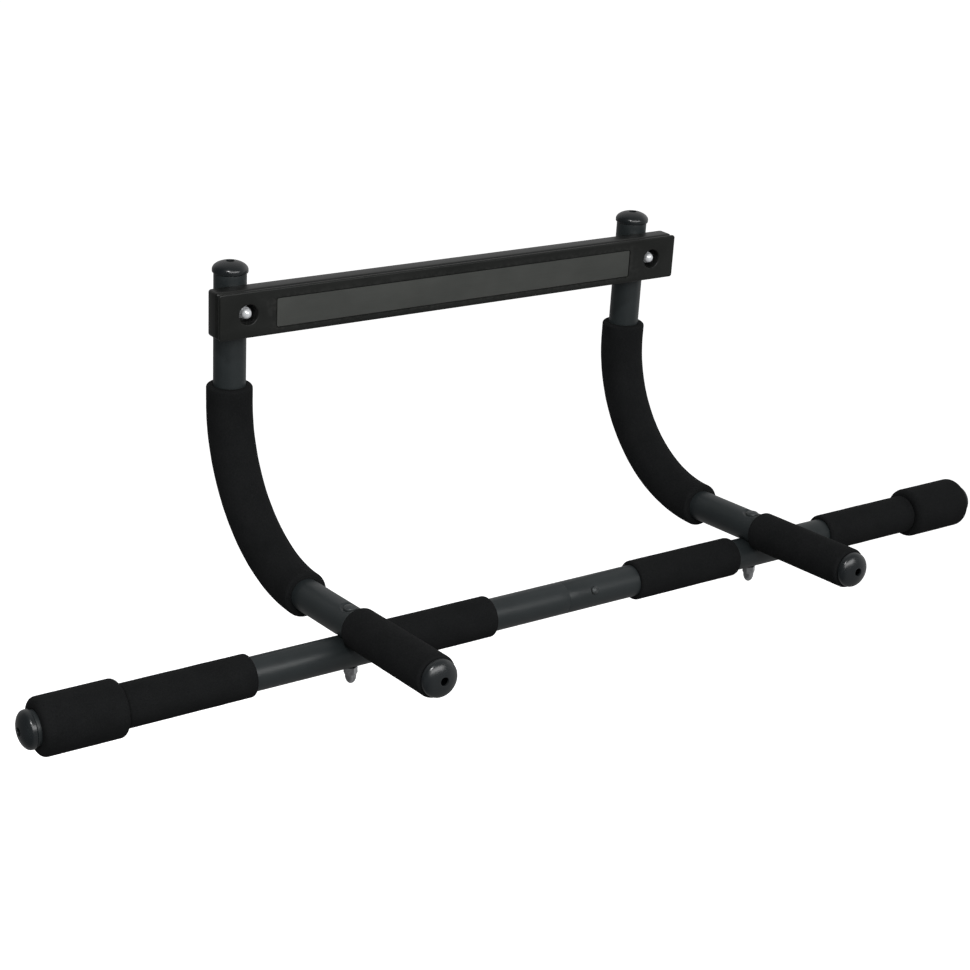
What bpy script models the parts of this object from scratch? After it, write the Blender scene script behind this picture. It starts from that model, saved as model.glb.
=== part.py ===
"""Doorway pull-up bar: a two-part padded bar, two J arms bolted on top, and a cross bar on their ends.

Metres, +Z up, +X to the right, +Y to the rear, seen by someone who hangs from the bar.
The origin is the middle of the cross bar's underside, where it rests on the door trim.
"""

import math

import bmesh
import bpy
from mathutils import Matrix, Vector

# Driving dimensions.
GAP = 0.0003  # clearance between touching pieces
TUBE_R = 0.014
TUBE_WALL = 0.0015
BORE_R = TUBE_R - TUBE_WALL
FOAM_BORE_R = TUBE_R + GAP

BAR_Y = -0.1875  # long bar's axis, from the origin
BAR_Z = -0.2105
BAR_SHIFT = -0.0023  # the long bar sits this far off centre in the arms' saddles
BAR_HALF = 0.4825  # half of the tubes' joined length
SPIGOT_R = BORE_R - GAP  # swaged end of the left tube, inside the right one
SPIGOT_BORE_R = SPIGOT_R - TUBE_WALL
SPIGOT_LENGTH = 0.060

GRIP_R = 0.0176  # thin foam
BUMPER_R = 0.0231  # thick foam
INNER_GRIP = (0.0765, 0.1905)  # distances from the bar's middle
OUTER_GRIP = (0.3025, 0.4118)
BUMPER = (0.4122, 0.4797)
GRIP_ROUND = 0.0028  # rounding of a thin foam's ends
BUMPER_ROUND = 0.0050

ARM_X = 0.213
ARM_Y = 0.0215  # axis of the arm's upright
ARM_TOP_Z = 0.0479
ARM_TILT = math.radians(4)  # the forward leg rises towards its end
ARM_BEND_R = 0.128
ARM_LIFT = 0.0238  # from the long bar's axis to the leg's axis: the saddle takes up the rest
LEG_REACH = 0.1273  # from the bolt to the leg's forward end
SLEEVE_R = 0.0200
SLEEVE_RISE = 0.0135  # how far the sleeve runs up the upright
ARM_GRIP = (0.0132, 0.1270)  # along the leg, from the bolt

CAP_R = 0.0153  # every tube end has the same plug
CAP_RIM = 0.0027
CAP_DOME = 0.0075
CAP_HOLE_R = 0.0035
CAP_SHELL = 0.0018
CAP_BARREL = 0.012  # how far the plug goes into its tube

CROSS_LENGTH = 0.480
CROSS_HEIGHT = 0.040
CROSS_FRONT_Y = -0.0120
CROSS_BACK_Y = 0.0100
BODY_ROUND = 0.0026
FACE_DEPTH = 0.003
FACE_ROUND = 0.0013
LABEL_SIZE = (0.3725, 0.0008, 0.0244)
LABEL_GROOVE = 0.0009  # around the label, in its recess
LABEL_Z = 0.0187
CROSS_BOLT_Z = 0.0202
COUNTERBORE_R = 0.00875
COUNTERBORE_DEPTH = 0.0140

BOLT_R = 0.003  # M6
BOLT_HOLE_R = BOLT_R + GAP
ARM_NUT_HEIGHT = 0.0146
CROSS_NUT_HEIGHT = 0.0120
NUT_HEX_HEIGHT = 0.0060
NUT_THREAD_DEPTH = 0.0092
NUT_DOME_SHARE = 0.95  # the dome's width, of the width across flats
NUT_DOME_ROOT = 0.0010  # how far the dome reaches into the hexagon
NUT_DOME_RIM = 0.0012  # its straight side above the hexagon
THREAD_LENGTH = 0.0085  # of each bolt inside its nut
ARM_SEAT_R = 0.0064  # flat pressed into the top of the leg for the screw's head
ARM_SEAT_DEPTH = 0.0023
ARM_HEAD_R = 0.0056
ARM_HEAD_RIM = 0.0008
ARM_HEAD_HEIGHT = 0.0030
CROSS_HEAD_R = 0.0066
CROSS_HEAD_RIM = 0.0008
CROSS_HEAD_HEIGHT = 0.0035
NUT_FLATS = 0.010
WASHER_R = 0.0062
WASHER_DEPTH = 0.0010

BUTTON_X = 0.024
BUTTON_RISE = math.radians(30)  # the button faces forwards and this far upwards
BUTTON_R = 0.0034
BUTTON_FLANGE_R = 0.0046
BUTTON_TOP = 0.0166  # its dome's distance from the long bar's axis
BUTTON_DOME = 0.0020
BUTTON_FLANGE = (0.0078, 0.0092)  # its two faces' distances from the long bar's axis
SPRING_WIDTH = 0.0070
SPRING_THICKNESS = 0.0008

SIDES = 24  # facets around a turned piece
SWEPT_SIDES = 18  # facets around a bent tube
SMALL_SIDES = 16  # facets around a bolt or a hole

LEG_FORWARD = Vector((0, -math.cos(ARM_TILT), math.sin(ARM_TILT)))
LEG_UP = Vector((0, math.sin(ARM_TILT), math.cos(ARM_TILT)))
X_AXIS = Vector((1, 0, 0))
Y_AXIS = Vector((0, 1, 0))
Z_AXIS = Vector((0, 0, 1))
BUTTON_OUT = Vector((0, -math.cos(BUTTON_RISE), math.sin(BUTTON_RISE)))

MATERIALS = {
    # name: (colour, roughness, metallic)
    "powder_coat": ((0.055, 0.058, 0.062), 0.42, 0.6),
    "foam": ((0.012, 0.012, 0.013), 0.95, 0.0),
    "cap_plastic": ((0.050, 0.055, 0.062), 0.30, 0.0),
    "moulded_plastic": ((0.020, 0.020, 0.021), 0.50, 0.0),
    "face_plastic": ((0.026, 0.026, 0.027), 0.35, 0.0),
    "label": ((0.055, 0.056, 0.052), 0.55, 0.0),
    "bright_plate": ((0.80, 0.80, 0.78), 0.15, 1.0),
    "black_oxide": ((0.07, 0.072, 0.075), 0.45, 0.9),
    "spring_steel": ((0.35, 0.35, 0.34), 0.35, 1.0),
}


def clear_scene():
    for old in list(bpy.data.objects):
        bpy.data.objects.remove(old, do_unlink=True)


def make_material(name):
    colour, roughness, metallic = MATERIALS[name]
    material = bpy.data.materials.new(name)
    material.use_nodes = True
    shader = material.node_tree.nodes["Principled BSDF"]
    shader.inputs["Base Color"].default_value = (*colour, 1)
    shader.inputs["Roughness"].default_value = roughness
    shader.inputs["Metallic"].default_value = metallic
    return material


def add_object(name, bm, material=None):
    """A scene object from a bmesh, with its faces turned outwards."""
    bmesh.ops.recalc_face_normals(bm, faces=bm.faces[:])
    mesh = bpy.data.meshes.new(name)
    bm.to_mesh(mesh)
    bm.free()
    mesh.shade_smooth()
    mesh.set_sharp_from_angle(angle=math.radians(35))
    made = bpy.data.objects.new(name, mesh)
    bpy.context.scene.collection.objects.link(made)
    if material is not None:
        mesh.materials.append(material)
    return made


def place(obj, position, axis=Z_AXIS):
    """Moves an object to a position, with its own Z along axis."""
    obj.matrix_world = Matrix.Translation(position) @ axis.to_track_quat("Z", "Y").to_matrix().to_4x4()
    return obj


def as_cutter(obj):
    obj.hide_render = True
    obj.display_type = "WIRE"
    return obj


def boolean(obj, other, operation="DIFFERENCE"):
    modifier = obj.modifiers.new(other.name, "BOOLEAN")
    modifier.operation = operation
    modifier.object = other


def round_edges(obj, width, segments=2):
    modifier = obj.modifiers.new("round_edges", "BEVEL")
    modifier.width = width
    modifier.segments = segments
    modifier.limit_method = "ANGLE"


def turned(name, profile, material=None, sides=SIDES):
    """A body turned about its own Z from (radius, height) points. Off the axis they close into a ring."""
    bm = bmesh.new()
    points = [bm.verts.new((radius, 0, height)) for radius, height in profile]
    edges = [bm.edges.new(pair) for pair in zip(points, points[1:])]
    if min(radius for radius, _ in profile) > 0:
        edges.append(bm.edges.new((points[-1], points[0])))
    bmesh.ops.spin(
        bm, geom=points + edges, cent=(0, 0, 0), axis=(0, 0, 1), angle=math.tau, steps=sides, use_merge=True
    )
    bmesh.ops.remove_doubles(bm, verts=bm.verts[:], dist=1e-6)
    return add_object(name, bm, material)


def ring_profile(outer, inner, low, high):
    return [(inner, low), (outer, low), (outer, high), (inner, high)]


def disc_profile(radius, low, high):
    return [(0, low), (radius, low), (radius, high), (0, high)]


def arc(centre, radii, start, end, steps):
    """Points on an ellipse quarter or arc, as (radius, height) pairs for a turned profile."""
    angles = [start + (end - start) * step / steps for step in range(steps + 1)]
    return [(centre[0] + radii[0] * math.cos(a), centre[1] + radii[1] * math.sin(a)) for a in angles]


def block(name, low, high, material=None):
    """A box between two corners, in world coordinates."""
    bm = bmesh.new()
    bmesh.ops.create_cube(bm, size=1)
    low, high = Vector(low), Vector(high)
    bmesh.ops.scale(bm, vec=high - low, verts=bm.verts[:])
    made = add_object(name, bm, material)
    made.location = (low + high) / 2
    return made


def cylinder_cutter(name, radius, start, end, sides=SMALL_SIDES):
    """A hidden cylinder between two points, for a hole or a groove."""
    along = end - start
    cutter = as_cutter(turned(name, disc_profile(radius, 0, along.length), sides=sides))
    return place(cutter, start, along.normalized())


def swept(name, path, radius, material=None):
    """A solid round bar along a path of points."""
    curve = bpy.data.curves.new(name, "CURVE")
    curve.dimensions = "3D"
    curve.bevel_depth = radius
    curve.bevel_resolution = SWEPT_SIDES // 2 - 2
    curve.use_fill_caps = True
    spline = curve.splines.new("POLY")
    spline.points.add(len(path) - 1)
    for point, place_at in zip(spline.points, path):
        point.co = (*place_at, 1)
    guide = bpy.data.objects.new(name + "_path", curve)
    bpy.context.scene.collection.objects.link(guide)
    bpy.context.view_layer.update()
    mesh = bpy.data.meshes.new_from_object(guide)
    bpy.data.objects.remove(guide, do_unlink=True)
    bm = bmesh.new()
    bm.from_mesh(mesh)
    bpy.data.meshes.remove(mesh)
    bmesh.ops.remove_doubles(bm, verts=bm.verts[:], dist=1e-6)
    return add_object(name, bm, material)


def on_bar(distance):
    """A point on the long bar's axis, this far from the arms' middle."""
    return Vector((distance, BAR_Y, BAR_Z))


def from_joint(distance):
    """A point on the long bar's axis, this far from the joint between its tubes."""
    return on_bar(distance + BAR_SHIFT)


# The long bar: two tubes, their snap button and its spring.


def arm_bolt_hole(name, side):
    start = on_bar(side * ARM_X) - LEG_UP * 2 * TUBE_R
    return cylinder_cutter(name, BOLT_HOLE_R, start, start + LEG_UP * 6 * TUBE_R)


def button_hole(name):
    start = on_bar(BUTTON_X)
    return cylinder_cutter(name, BUTTON_R + GAP, start, start + BUTTON_OUT * 2 * TUBE_R)


def bar_tubes(material):
    shoulder = 0.0009  # from the joint to where the left tube starts to narrow outside
    bore_taper = 0.006  # and inside
    left = turned(
        "bar_tube_left",
        [
            (BORE_R, -BAR_HALF),
            (TUBE_R, -BAR_HALF),
            (TUBE_R, -shoulder),
            (SPIGOT_R, -GAP),
            (SPIGOT_R, SPIGOT_LENGTH),
            (SPIGOT_BORE_R, SPIGOT_LENGTH),
            (SPIGOT_BORE_R, -shoulder),
            (BORE_R, -bore_taper),
        ],
        material,
    )
    right = turned("bar_tube_right", ring_profile(TUBE_R, BORE_R, 0, BAR_HALF), material)
    for tube, side in ((left, -1), (right, 1)):
        place(tube, from_joint(0), X_AXIS)
        boolean(tube, arm_bolt_hole(tube.name + "_bolt_hole", side))
        boolean(tube, button_hole(tube.name + "_button_hole"))


def snap_button(material):
    """A domed pin with a flange, which the spring presses against the spigot's wall."""
    flange_low, flange_high = BUTTON_FLANGE
    shoulder = BUTTON_TOP - BUTTON_DOME
    profile = [
        (0, flange_low),
        (BUTTON_FLANGE_R, flange_low),
        (BUTTON_FLANGE_R, flange_high),
        (BUTTON_R, flange_high),
        *arc((0, shoulder), (BUTTON_R, BUTTON_DOME), 0, math.pi / 2, 4),
    ]
    place(turned("snap_button", profile, material, SMALL_SIDES), on_bar(BUTTON_X), BUTTON_OUT)


def button_spring(material):
    """A V of spring strip inside the spigot: one leg under the button, the other on the far wall."""
    near_leg, far_leg = 0.0070, -0.0092  # heights above the long bar's axis, along BUTTON_OUT
    near_tip_x, turn_x, far_tip_x = 0.0075, -0.012, 0.006  # from the button
    turn_r = 0.0030
    turn_steps = 8
    turn_centre = near_leg - turn_r
    path = [(near_tip_x, near_leg), (turn_x, near_leg)]
    for step in range(1, turn_steps):
        angle = math.pi * step / turn_steps
        path.append((turn_x - turn_r * math.sin(angle), turn_centre + turn_r * math.cos(angle)))
    path += [(turn_x, turn_centre - turn_r), (far_tip_x, far_leg)]
    bm = bmesh.new()
    half = SPRING_THICKNESS / 2
    rows = []
    for index, (along, out) in enumerate(path):
        before = Vector(path[max(index - 1, 0)])
        after = Vector(path[min(index + 1, len(path) - 1)])
        heading = (after - before).normalized()
        normal = Vector((-heading.y, heading.x)) * half
        corners = [(along + normal.x, out + normal.y), (along - normal.x, out - normal.y)]
        rows.append([bm.verts.new((a, -SPRING_WIDTH / 2, b)) for a, b in corners])
    strip = []
    for here, following in zip(rows, rows[1:]):
        strip.append(bm.faces.new((here[0], here[1], following[1], following[0])))
    side = bmesh.ops.extrude_face_region(bm, geom=strip)
    moved = [item for item in side["geom"] if isinstance(item, bmesh.types.BMVert)]
    bmesh.ops.translate(bm, vec=(0, SPRING_WIDTH, 0), verts=moved)
    spring = add_object("button_spring", bm, material)
    across = BUTTON_OUT.cross(X_AXIS)
    axes = Matrix((X_AXIS, across, BUTTON_OUT)).transposed().to_4x4()
    spring.matrix_world = Matrix.Translation(on_bar(BUTTON_X)) @ axes


# Foam sleeves and plastic plugs.


def straight_foam(name, radius, rounding, start, end, material):
    """A foam tube between two points on a tube's axis, with its ends' outer edges rounded."""
    along = end - start
    shoulder = radius - rounding
    profile = [
        (FOAM_BORE_R, 0),
        *arc((shoulder, rounding), (rounding, rounding), -math.pi / 2, 0, 3),
        *arc((shoulder, along.length - rounding), (rounding, rounding), 0, math.pi / 2, 3),
        (FOAM_BORE_R, along.length),
    ]
    return place(turned(name, profile, material), start, along.normalized())


def bar_foams(material):
    for side, word in ((-1, "left"), (1, "right")):
        for name, radius, rounding, (near, far) in (
            ("inner_grip", GRIP_R, GRIP_ROUND, INNER_GRIP),
            ("outer_grip", GRIP_R, GRIP_ROUND, OUTER_GRIP),
            ("bumper", BUMPER_R, BUMPER_ROUND, BUMPER),
        ):
            straight_foam(
                f"{name}_{word}", radius, rounding, from_joint(side * near), from_joint(side * far), material
            )


def plug(name, position, axis, material):
    """A hollow plug for a tube's end: a barrel inside it, a rim on its edge and a dome with a hole."""
    barrel_r = BORE_R - GAP
    inner_barrel_r = barrel_r - CAP_SHELL
    lip = 0.0008
    hole_angle = math.acos(CAP_HOLE_R / CAP_R)
    inner_hole_angle = math.acos(CAP_HOLE_R / (CAP_R - CAP_SHELL))
    inner_foot_angle = 0.7  # where the inside of the dome meets the barrel's shoulder
    outer_dome = arc((0, CAP_RIM), (CAP_R, CAP_DOME), 0, hole_angle, 5)
    inner_radii = (CAP_R - CAP_SHELL, CAP_DOME - CAP_SHELL)
    inner_dome = arc((0, CAP_RIM), inner_radii, inner_hole_angle, inner_foot_angle, 2)
    profile = [
        (inner_barrel_r, -CAP_BARREL),
        (barrel_r, -CAP_BARREL),
        (barrel_r, GAP),
        *arc((CAP_R - lip, GAP + lip), (lip, lip), -math.pi / 2, 0, 2),
        *outer_dome,
        *inner_dome,
        (inner_barrel_r, CAP_RIM),
    ]
    return place(turned(name, profile, material), position, axis)


def plugs(material):
    for side, word in ((-1, "left"), (1, "right")):
        plug(f"bar_cap_{word}", from_joint(side * BAR_HALF), X_AXIS * side, material)
        plug(f"arm_top_cap_{word}", Vector((side * ARM_X, ARM_Y, ARM_TOP_Z)), Z_AXIS, material)
        plug(f"arm_grip_cap_{word}", leg_point(side, LEG_REACH), LEG_FORWARD, material)


# The J arms.


def leg_point(side, distance):
    """A point on the leg's axis, this far in front of its bolt."""
    return on_bar(side * ARM_X) + LEG_UP * ARM_LIFT + LEG_FORWARD * distance


def arm_path(side, top_z, leg_end):
    """Points down the upright, round the bend and along the leg, as far as leg_end in front of the bolt.

    With no leg_end the path stops where the bend does.
    """
    bolt = leg_point(side, 0)
    to_corner = (bolt.y - ARM_Y) / LEG_FORWARD.y
    corner = bolt - LEG_FORWARD * to_corner
    turn = math.pi / 2 + ARM_TILT
    tangent = ARM_BEND_R * math.tan(turn / 2)
    centre = corner + Z_AXIS * tangent - Y_AXIS * ARM_BEND_R
    steps = 12
    path = [Vector((side * ARM_X, ARM_Y, top_z))]
    for step in range(steps + 1):
        angle = turn * step / steps
        path.append(centre + ARM_BEND_R * (Y_AXIS * math.cos(angle) - Z_AXIS * math.sin(angle)))
    if leg_end is not None:
        path.append(leg_point(side, leg_end))
    return path


def bend_start_z():
    return arm_path(1, 0, None)[1].z


def arm(side, word, material):
    """A bent tube.

    Its underside is pressed into a saddle over the long bar, and its top into a seat for the screw.
    """
    saddle_r = TUBE_R + GAP
    top = leg_point(side, 0) + LEG_UP * TUBE_R
    seat_floor = top - LEG_UP * ARM_SEAT_DEPTH
    beyond = LEG_UP * 0.010
    half_saddle = X_AXIS * 2 * TUBE_R

    tube = swept(f"arm_{word}", arm_path(side, ARM_TOP_Z, LEG_REACH), TUBE_R, material)
    bore = as_cutter(swept(f"arm_{word}_bore", arm_path(side, ARM_TOP_Z + GAP, LEG_REACH + GAP), BORE_R))
    saddle_start = on_bar(side * ARM_X) - half_saddle
    saddle_end = on_bar(side * ARM_X) + half_saddle
    boolean(
        bore,
        cylinder_cutter(
            f"arm_{word}_saddle_inside", saddle_r + TUBE_WALL, saddle_start, saddle_end, SIDES
        ),
    )
    boolean(
        bore,
        cylinder_cutter(
            f"arm_{word}_seat_inside", ARM_SEAT_R + TUBE_WALL, seat_floor - LEG_UP * TUBE_WALL, top + beyond
        ),
    )
    boolean(tube, bore)
    boolean(tube, cylinder_cutter(f"arm_{word}_saddle", saddle_r, saddle_start, saddle_end, SIDES))
    boolean(tube, cylinder_cutter(f"arm_{word}_seat", ARM_SEAT_R, seat_floor, top + beyond))
    boolean(tube, arm_bolt_hole(f"arm_{word}_bolt_hole", side))
    boolean(tube, cross_bolt_hole(f"arm_{word}_cross_hole", side))


def arm_sleeve(side, word, material):
    path = arm_path(side, bend_start_z() + SLEEVE_RISE, None)
    sleeve = swept(f"arm_sleeve_{word}", path, SLEEVE_R, material)
    round_edges(sleeve, GRIP_ROUND, 3)
    bore = swept(f"arm_sleeve_{word}_bore", arm_path(side, ARM_TOP_Z, LEG_REACH), FOAM_BORE_R)
    boolean(sleeve, as_cutter(bore))


def arm_grip(side, word, material):
    start, end = (leg_point(side, distance) for distance in ARM_GRIP)
    straight_foam(f"arm_grip_{word}", GRIP_R, GRIP_ROUND, start, end, material)


# The cross bar.


def cross_bolt_hole(name, side):
    """From in front of the cross bar to behind the arm."""
    middle = Vector((side * ARM_X, 0, CROSS_BOLT_Z))
    forward, backward = 0.03, 0.05
    return cylinder_cutter(name, BOLT_HOLE_R, middle - Y_AXIS * forward, middle + Y_AXIS * backward)


def counterbore(name, side):
    """A stepped hole: wide in front for the nut, then down to the bolt's clearance through to the arm."""
    lead_in = 0.005
    floor = lead_in + COUNTERBORE_DEPTH
    through = 0.020  # more than the rest of the body's depth
    beyond = floor + through
    profile = [
        (0, 0),
        (COUNTERBORE_R, 0),
        (COUNTERBORE_R, floor),
        (BOLT_HOLE_R, floor),
        (BOLT_HOLE_R, beyond),
        (0, beyond),
    ]
    cutter = as_cutter(turned(name, profile, sides=SMALL_SIDES))
    return place(cutter, Vector((side * ARM_X, CROSS_FRONT_Y - lead_in, CROSS_BOLT_Z)), Y_AXIS)


def cross_bar(body_material, face_material, label_material):
    half = CROSS_LENGTH / 2
    body_front = CROSS_FRONT_Y + FACE_DEPTH + GAP
    body = block("cross_bar_body", (-half, body_front, 0), (half, CROSS_BACK_Y, CROSS_HEIGHT), body_material)
    round_edges(body, BODY_ROUND, 3)
    face = block(
        "cross_bar_face",
        (-half, CROSS_FRONT_Y, 0),
        (half, CROSS_FRONT_Y + FACE_DEPTH, CROSS_HEIGHT),
        face_material,
    )
    round_edges(face, FACE_ROUND)
    for side, word in ((-1, "left"), (1, "right")):
        groove_start = Vector((side * ARM_X, ARM_Y, -CROSS_HEIGHT / 2))
        groove_end = Vector((side * ARM_X, ARM_Y, 2 * CROSS_HEIGHT))
        boolean(body, cylinder_cutter(f"groove_{word}", FOAM_BORE_R, groove_start, groove_end, SIDES))
        boolean(body, counterbore(f"body_counterbore_{word}", side))
        boolean(face, counterbore(f"face_counterbore_{word}", side))

    length, depth, height = LABEL_SIZE
    low = Vector((-length / 2, CROSS_FRONT_Y, LABEL_Z - height / 2))
    high = Vector((length / 2, CROSS_FRONT_Y + depth, LABEL_Z + height / 2))
    block("label_plate", low, high, label_material)
    edge = Vector((LABEL_GROOVE, GAP, LABEL_GROOVE))
    lead_in = Y_AXIS * 0.002
    recess = as_cutter(block("label_recess", low - edge - lead_in, high + edge))
    boolean(face, recess)


# Fasteners.


def arm_bolt(side, word, material):
    """A bolt with a low smooth head, from the seat on top of the arm to the nut under the long bar."""
    tip = -(TUBE_R + GAP + THREAD_LENGTH)
    seat_floor = ARM_LIFT + TUBE_R - ARM_SEAT_DEPTH + GAP
    rim = seat_floor + ARM_HEAD_RIM
    profile = [
        (0, tip),
        (BOLT_R, tip),
        (BOLT_R, seat_floor),
        (ARM_HEAD_R, seat_floor),
        *arc((0, rim), (ARM_HEAD_R, ARM_HEAD_HEIGHT - ARM_HEAD_RIM), 0, math.pi / 2, 4),
    ]
    bolt = turned(f"arm_bolt_{word}", profile, material, SMALL_SIDES)
    place(bolt, on_bar(side * ARM_X), LEG_UP)


def dome_nut(name, position, axis, height, material):
    """A hexagon with a dome on it. Its open end is at the position, and the dome points along axis."""
    corner_r = NUT_FLATS / 2 / math.cos(math.radians(30))
    dome_r = NUT_FLATS / 2 * NUT_DOME_SHARE
    dome_low = NUT_HEX_HEIGHT - NUT_DOME_ROOT
    shoulder = NUT_HEX_HEIGHT + NUT_DOME_RIM
    dome_profile = [
        (0, dome_low),
        (dome_r, dome_low),
        *arc((0, shoulder), (dome_r, height - shoulder), 0, math.pi / 2, 4),
    ]
    nut = turned(name, disc_profile(corner_r, 0, NUT_HEX_HEIGHT), material, 6)
    dome = as_cutter(turned(name + "_dome", dome_profile, sides=SMALL_SIDES))
    for piece in (nut, dome):
        place(piece, position, axis)
    boolean(nut, dome, "UNION")
    thread_start = position - axis * 0.001
    thread_end = position + axis * NUT_THREAD_DEPTH
    boolean(nut, cylinder_cutter(name + "_thread", BOLT_HOLE_R, thread_start, thread_end))


def cross_fasteners(side, word, bolt_material, nut_material):
    """A round-headed bolt from behind the arm, with a washer and a dome nut in the counterbore."""
    floor_y = CROSS_FRONT_Y + COUNTERBORE_DEPTH
    head_y = ARM_Y + TUBE_R + GAP
    washer_y = floor_y - GAP
    nut_y = washer_y - WASHER_DEPTH - GAP
    centre = Vector((side * ARM_X, 0, CROSS_BOLT_Z))
    tip = nut_y - THREAD_LENGTH
    rim = head_y + CROSS_HEAD_RIM
    profile = [
        (0, tip),
        (BOLT_R, tip),
        (BOLT_R, head_y),
        (CROSS_HEAD_R, head_y),
        *arc((0, rim), (CROSS_HEAD_R, CROSS_HEAD_HEIGHT - CROSS_HEAD_RIM), 0, math.pi / 2, 4),
    ]
    place(turned(f"cross_bolt_{word}", profile, bolt_material, SMALL_SIDES), centre, Y_AXIS)
    washer = turned(
        f"cross_washer_{word}",
        ring_profile(WASHER_R, BOLT_HOLE_R, 0, WASHER_DEPTH),
        nut_material,
        SMALL_SIDES,
    )
    place(washer, centre + Y_AXIS * washer_y, -Y_AXIS)
    dome_nut(f"cross_nut_{word}", centre + Y_AXIS * nut_y, -Y_AXIS, CROSS_NUT_HEIGHT, nut_material)


def main():
    clear_scene()
    materials = {name: make_material(name) for name in MATERIALS}
    bar_tubes(materials["powder_coat"])
    snap_button(materials["black_oxide"])
    button_spring(materials["spring_steel"])
    bar_foams(materials["foam"])
    plugs(materials["cap_plastic"])
    cross_bar(materials["moulded_plastic"], materials["face_plastic"], materials["label"])
    for side, word in ((-1, "left"), (1, "right")):
        arm(side, word, materials["powder_coat"])
        arm_sleeve(side, word, materials["foam"])
        arm_grip(side, word, materials["foam"])
        arm_bolt(side, word, materials["black_oxide"])
        under_bar = on_bar(side * ARM_X) - LEG_UP * (TUBE_R + GAP)
        dome_nut(f"arm_nut_{word}", under_bar, -LEG_UP, ARM_NUT_HEIGHT, materials["bright_plate"])
        cross_fasteners(side, word, materials["black_oxide"], materials["bright_plate"])


main()
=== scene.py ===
"""Looks of the doorway pull-up bar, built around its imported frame.

Metres, +Z up, +X to the right, +Y to the rear. Every position is read from the frame's own nodes.
"""

import math

import bmesh
import bpy
from mathutils import Matrix, Vector, noise


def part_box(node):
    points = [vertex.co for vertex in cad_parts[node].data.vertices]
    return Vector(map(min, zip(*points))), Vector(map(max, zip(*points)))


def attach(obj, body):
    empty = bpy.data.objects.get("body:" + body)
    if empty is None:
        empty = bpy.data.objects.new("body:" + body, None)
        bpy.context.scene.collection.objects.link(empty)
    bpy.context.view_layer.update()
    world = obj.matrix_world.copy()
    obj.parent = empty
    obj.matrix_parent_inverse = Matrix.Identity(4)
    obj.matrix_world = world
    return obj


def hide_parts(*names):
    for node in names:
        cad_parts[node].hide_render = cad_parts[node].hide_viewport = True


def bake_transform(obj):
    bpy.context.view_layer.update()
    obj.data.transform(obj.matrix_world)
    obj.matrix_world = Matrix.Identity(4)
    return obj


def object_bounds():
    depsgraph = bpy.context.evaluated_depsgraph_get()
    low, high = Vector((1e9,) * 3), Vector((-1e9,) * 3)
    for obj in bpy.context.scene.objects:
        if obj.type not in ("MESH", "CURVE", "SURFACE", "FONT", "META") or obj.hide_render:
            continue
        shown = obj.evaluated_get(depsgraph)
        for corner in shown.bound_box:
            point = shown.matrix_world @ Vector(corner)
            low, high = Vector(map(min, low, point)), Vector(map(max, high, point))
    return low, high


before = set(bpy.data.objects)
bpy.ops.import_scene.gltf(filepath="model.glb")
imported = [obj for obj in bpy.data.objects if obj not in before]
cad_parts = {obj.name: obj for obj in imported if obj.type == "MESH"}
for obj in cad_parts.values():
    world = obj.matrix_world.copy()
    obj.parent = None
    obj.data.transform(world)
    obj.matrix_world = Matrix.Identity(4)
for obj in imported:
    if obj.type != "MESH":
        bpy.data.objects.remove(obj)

CAD_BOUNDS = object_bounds()

X_AXIS = Vector((1, 0, 0))
Y_AXIS = Vector((0, 1, 0))
Z_AXIS = Vector((0, 0, 1))
MM = 0.001
GAP = 0.3 * MM  # clearance between touching pieces
WALL = 1.5 * MM  # steel tubes
BOLT_R = 3 * MM
BOLT_HOLE_R = BOLT_R + GAP
BUTTON_R = 3.4 * MM
THIN_ROUND = 2.8 * MM  # rounding of a thin foam's ends
THICK_ROUND = 5.0 * MM
TINY = 1e-6  # for comparing lengths
QUARTER_TURN = math.pi / 2
SIDES = (("left", -1), ("right", 1))


# Where things are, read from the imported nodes.


def middle(node):
    low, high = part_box(node)
    return (low + high) / 2


def size(node):
    low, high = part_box(node)
    return high - low


BAR = middle("bar_tube_right").yz
TUBE_R = size("bar_tube_right").z / 2
BORE_R = TUBE_R - WALL
JOINT_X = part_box("bar_tube_right")[0].x
BAR_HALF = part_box("bar_tube_right")[1].x - JOINT_X
SPIGOT_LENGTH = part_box("bar_tube_left")[1].x - JOINT_X

BUTTON_X = middle("snap_button").x
ARM_X = middle("arm_right").x
ARM_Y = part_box("arm_right")[1].y - TUBE_R
ARM_TOP_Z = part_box("arm_right")[1].z
ARM_TILT = math.radians(4)
ARM_BEND_R = 0.128
LEG_FORWARD = Vector((0, -math.cos(ARM_TILT), math.sin(ARM_TILT)))
LEG_UP = Vector((0, math.sin(ARM_TILT), math.cos(ARM_TILT)))


def on_bar(x):
    """A point on the long bar's axis."""
    return Vector((x, BAR.x, BAR.y))


def bolt_point(side):
    """Where the leg's axis passes over the long bar's: the leg's foam is centred on that axis."""
    on_leg = middle("arm_grip_right")
    point = on_leg + LEG_FORWARD * (on_bar(ARM_X) - on_leg).dot(LEG_FORWARD)
    return Vector((side * ARM_X, point.y, point.z))


# From the bolt to the leg's forward end, whose lowest edge is the arm's foremost point.
LEG_REACH = (
    bolt_point(1).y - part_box("arm_right")[0].y - TUBE_R * math.sin(ARM_TILT)
) / math.cos(ARM_TILT)

BUTTON_OUT = (middle("snap_button") - on_bar(BUTTON_X)).normalized()
CROSS_BOLT_Z = middle("cross_bolt_right").z
CROSS_FRONT_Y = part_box("cross_bar_face")[0].y
COUNTERBORE_R = 8.75 * MM
COUNTERBORE_DEPTH = 14 * MM


# Paths that pieces are turned along. At a distance, a path gives the point, the heading and a normal.


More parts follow.
